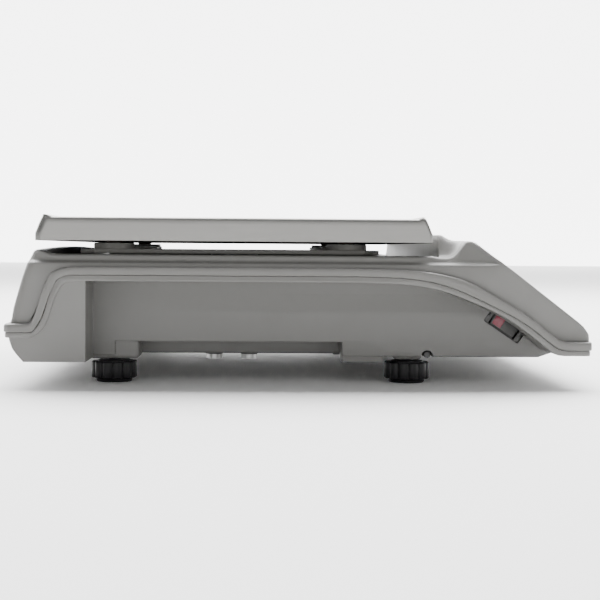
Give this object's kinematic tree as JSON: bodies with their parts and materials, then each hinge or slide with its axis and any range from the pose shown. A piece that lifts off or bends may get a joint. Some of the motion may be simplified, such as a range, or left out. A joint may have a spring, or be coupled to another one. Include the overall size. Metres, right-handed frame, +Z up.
{
  "type": "counting scale",
  "caption": "Bench counting scale: a flat stainless platter on a load cell, a grey moulded casing with a sloped keypad panel, and screw-down levelling feet.",
  "frame": {"origin": "on the bench, under the middle of the casing's length and width", "axes": "+X from the rear towards the operator's panel, +Y towards the operator's right, +Z up"},
  "size_m": [0.3552, 0.345, 0.1031],
  "materials": {
    "casing": "satin moulded plastic, fine texture",
    "key_grey": "satin",
    "key_light": "satin",
    "stainless": "satin stainless sheet",
    "steel": "zinc-plated steel",
    "cast": "dark paint on cast aluminium",
    "alu": "machined",
    "brass": "turned",
    "cap_rubber": "dark brown rubber",
    "foot_rubber": "black rubber",
    "black_plastic": "black moulded plastic",
    "dark_plastic": "dark grey plastic",
    "board": "green solder mask",
    "lcd": "reflective liquid-crystal cell",
    "window": "clear window with a dark printed border",
    "red_plastic": "red translucent plastic",
    "silicone": "silicone rubber",
    "vial": "clear acrylic with yellow-green liquid",
    "cable": "sheathed cable",
    "ribbon": "flat ribbon cable"
  },
  "bodies": {
    "case": {"base_case": "casing", "top_cover": "casing", "case_screws": "steel", "load_cell": "alu", "cell_spacer": "steel", "cell_base_bolts": "steel", "overload_stop": "steel", "main_board": "board", "board_screws": "steel", "lcd_weight": "lcd", "lcd_unit_weight": "lcd", "lcd_count": "lcd", "display_board": "board", "display_window": "window", "keypad_mat": "silicone", "keypad_board": "board", "panel_screws": "steel", "battery": "black_plastic", "battery_strap": "steel", "switch_body": "dark_plastic", "dc_jack": "black_plastic", "level_holder": "dark_plastic", "level_vial": "vial", "foot_inserts": "brass", "cell_cable": "cable", "ribbon_cable": "ribbon"},
    "spider": {"spider": "cast", "spider_pillar": "alu", "spider_bolts": "steel", "support_caps": "cap_rubber"},
    "platter": {"platter": "stainless", "platter_cups": "stainless"},
    "battery_door": {"battery_door": "dark_plastic"},
    "switch_rocker": {"switch_rocker": "red_plastic"},
    "key_zero": {"key_zero": "key_grey"},
    "key_tare": {"key_tare": "key_grey"},
    "key_sample": {"key_sample": "key_grey"},
    "key_unit": {"key_unit": "key_grey"},
    "key_add": {"key_add": "key_grey"},
    "key_recall": {"key_recall": "key_grey"},
    "key_7": {"key_7": "key_light"},
    "key_8": {"key_8": "key_light"},
    "key_9": {"key_9": "key_light"},
    "key_0": {"key_0": "key_light"},
    "key_4": {"key_4": "key_light"},
    "key_5": {"key_5": "key_light"},
    "key_6": {"key_6": "key_light"},
    "key_point": {"key_point": "key_light"},
    "key_1": {"key_1": "key_light"},
    "key_2": {"key_2": "key_light"},
    "key_3": {"key_3": "key_light"},
    "key_clear": {"key_clear": "key_light"},
    "foot_pad_rl": {"foot_pad_rl": "foot_rubber"},
    "foot_knob_rl": {"foot_knob_rl": "black_plastic"},
    "foot_pad_rr": {"foot_pad_rr": "foot_rubber"},
    "foot_knob_rr": {"foot_knob_rr": "black_plastic"},
    "foot_pad_fl": {"foot_pad_fl": "foot_rubber"},
    "foot_knob_fl": {"foot_knob_fl": "black_plastic"},
    "foot_pad_fr": {"foot_pad_fr": "foot_rubber"},
    "foot_knob_fr": {"foot_knob_fr": "black_plastic"}
  },
  "joints": [
    {"name": "load_deflection", "type": "slide", "parent": "case", "child": "spider", "axis": [0, 0, 1], "range_m": [-0.0005, 0], "stiffness_N_per_m": 120000, "springref_m": 0.0001, "deforming": ["load_cell"]},
    {"name": "platter_lift", "type": "slide", "parent": "spider", "child": "platter", "axis": [0, 0, 1], "range_m": [0, 0.04]},
    {"name": "battery_door_slide", "type": "slide", "parent": "case", "child": "battery_door", "axis": [1, 0, 0], "range_m": [0, 0.06]},
    {"name": "power_rocker", "type": "hinge", "parent": "case", "child": "switch_rocker", "pos_m": [0.1315, -0.1319, 0.0372], "axis": [0.5592, 0, 0.829], "range_deg": [-14, 0]},
    {"name": "key_zero_press", "type": "slide", "parent": "case", "child": "key_zero", "axis": [-0.6077, 0, -0.7942], "range_m": [0, 0.0012], "stiffness_N_per_m": 900, "springref_m": -0.0006},
    {"name": "key_tare_press", "type": "slide", "parent": "case", "child": "key_tare", "axis": [-0.6077, 0, -0.7942], "range_m": [0, 0.0012], "stiffness_N_per_m": 900, "springref_m": -0.0006},
    {"name": "key_sample_press", "type": "slide", "parent": "case", "child": "key_sample", "axis": [-0.6077, 0, -0.7942], "range_m": [0, 0.0012], "stiffness_N_per_m": 900, "springref_m": -0.0006},
    {"name": "key_unit_press", "type": "slide", "parent": "case", "child": "key_unit", "axis": [-0.6077, 0, -0.7942], "range_m": [0, 0.0012], "stiffness_N_per_m": 900, "springref_m": -0.0006},
    {"name": "key_add_press", "type": "slide", "parent": "case", "child": "key_add", "axis": [-0.6077, 0, -0.7942], "range_m": [0, 0.0012], "stiffness_N_per_m": 900, "springref_m": -0.0006},
    {"name": "key_recall_press", "type": "slide", "parent": "case", "child": "key_recall", "axis": [-0.6077, 0, -0.7942], "range_m": [0, 0.0012], "stiffness_N_per_m": 900, "springref_m": -0.0006},
    {"name": "key_7_press", "type": "slide", "parent": "case", "child": "key_7", "axis": [-0.6077, 0, -0.7942], "range_m": [0, 0.0012], "stiffness_N_per_m": 900, "springref_m": -0.0006},
    {"name": "key_8_press", "type": "slide", "parent": "case", "child": "key_8", "axis": [-0.6077, 0, -0.7942], "range_m": [0, 0.0012], "stiffness_N_per_m": 900, "springref_m": -0.0006},
    {"name": "key_9_press", "type": "slide", "parent": "case", "child": "key_9", "axis": [-0.6077, 0, -0.7942], "range_m": [0, 0.0012], "stiffness_N_per_m": 900, "springref_m": -0.0006},
    {"name": "key_0_press", "type": "slide", "parent": "case", "child": "key_0", "axis": [-0.6077, 0, -0.7942], "range_m": [0, 0.0012], "stiffness_N_per_m": 900, "springref_m": -0.0006},
    {"name": "key_4_press", "type": "slide", "parent": "case", "child": "key_4", "axis": [-0.6077, 0, -0.7942], "range_m": [0, 0.0012], "stiffness_N_per_m": 900, "springref_m": -0.0006},
    {"name": "key_5_press", "type": "slide", "parent": "case", "child": "key_5", "axis": [-0.6077, 0, -0.7942], "range_m": [0, 0.0012], "stiffness_N_per_m": 900, "springref_m": -0.0006},
    {"name": "key_6_press", "type": "slide", "parent": "case", "child": "key_6", "axis": [-0.6077, 0, -0.7942], "range_m": [0, 0.0012], "stiffness_N_per_m": 900, "springref_m": -0.0006},
    {"name": "key_point_press", "type": "slide", "parent": "case", "child": "key_point", "axis": [-0.6077, 0, -0.7942], "range_m": [0, 0.0012], "stiffness_N_per_m": 900, "springref_m": -0.0006},
    {"name": "key_1_press", "type": "slide", "parent": "case", "child": "key_1", "axis": [-0.6077, 0, -0.7942], "range_m": [0, 0.0012], "stiffness_N_per_m": 900, "springref_m": -0.0006},
    {"name": "key_2_press", "type": "slide", "parent": "case", "child": "key_2", "axis": [-0.6077, 0, -0.7942], "range_m": [0, 0.0012], "stiffness_N_per_m": 900, "springref_m": -0.0006},
    {"name": "key_3_press", "type": "slide", "parent": "case", "child": "key_3", "axis": [-0.6077, 0, -0.7942], "range_m": [0, 0.0012], "stiffness_N_per_m": 900, "springref_m": -0.0006},
    {"name": "key_clear_press", "type": "slide", "parent": "case", "child": "key_clear", "axis": [-0.6077, 0, -0.7942], "range_m": [0, 0.0012], "stiffness_N_per_m": 900, "springref_m": -0.0006},
    {"name": "foot_rl_travel", "type": "slide", "parent": "case", "child": "foot_pad_rl", "axis": [0, 0, 1], "range_m": [-0.008, 0]},
    {"name": "foot_rl_turn", "type": "hinge", "parent": "foot_pad_rl", "child": "foot_knob_rl", "pos_m": [-0.116, -0.126, 0], "axis": [0, 0, 1], "range_deg": [-2305, 0]},
    {"name": "foot_rr_travel", "type": "slide", "parent": "case", "child": "foot_pad_rr", "axis": [0, 0, 1], "range_m": [-0.008, 0]},
    {"name": "foot_rr_turn", "type": "hinge", "parent": "foot_pad_rr", "child": "foot_knob_rr", "pos_m": [-0.116, 0.126, 0], "axis": [0, 0, 1], "range_deg": [-2305, 0]},
    {"name": "foot_fl_travel", "type": "slide", "parent": "case", "child": "foot_pad_fl", "axis": [0, 0, 1], "range_m": [-0.008, 0]},
    {"name": "foot_fl_turn", "type": "hinge", "parent": "foot_pad_fl", "child": "foot_knob_fl", "pos_m": [0.07, -0.126, 0], "axis": [0, 0, 1], "range_deg": [-2305, 0]},
    {"name": "foot_fr_travel", "type": "slide", "parent": "case", "child": "foot_pad_fr", "axis": [0, 0, 1], "range_m": [-0.008, 0]},
    {"name": "foot_fr_turn", "type": "hinge", "parent": "foot_pad_fr", "child": "foot_knob_fr", "pos_m": [0.07, 0.126, 0], "axis": [0, 0, 1], "range_deg": [-2305, 0]}
  ],
  "couplings": [
    {"joint": "foot_rl_turn", "follows": "foot_rl_travel", "rad_per_m": 5026.5},
    {"joint": "foot_rr_turn", "follows": "foot_rr_travel", "rad_per_m": 5026.5},
    {"joint": "foot_fl_turn", "follows": "foot_fl_travel", "rad_per_m": 5026.5},
    {"joint": "foot_fr_turn", "follows": "foot_fr_travel", "rad_per_m": 5026.5}
  ]
}
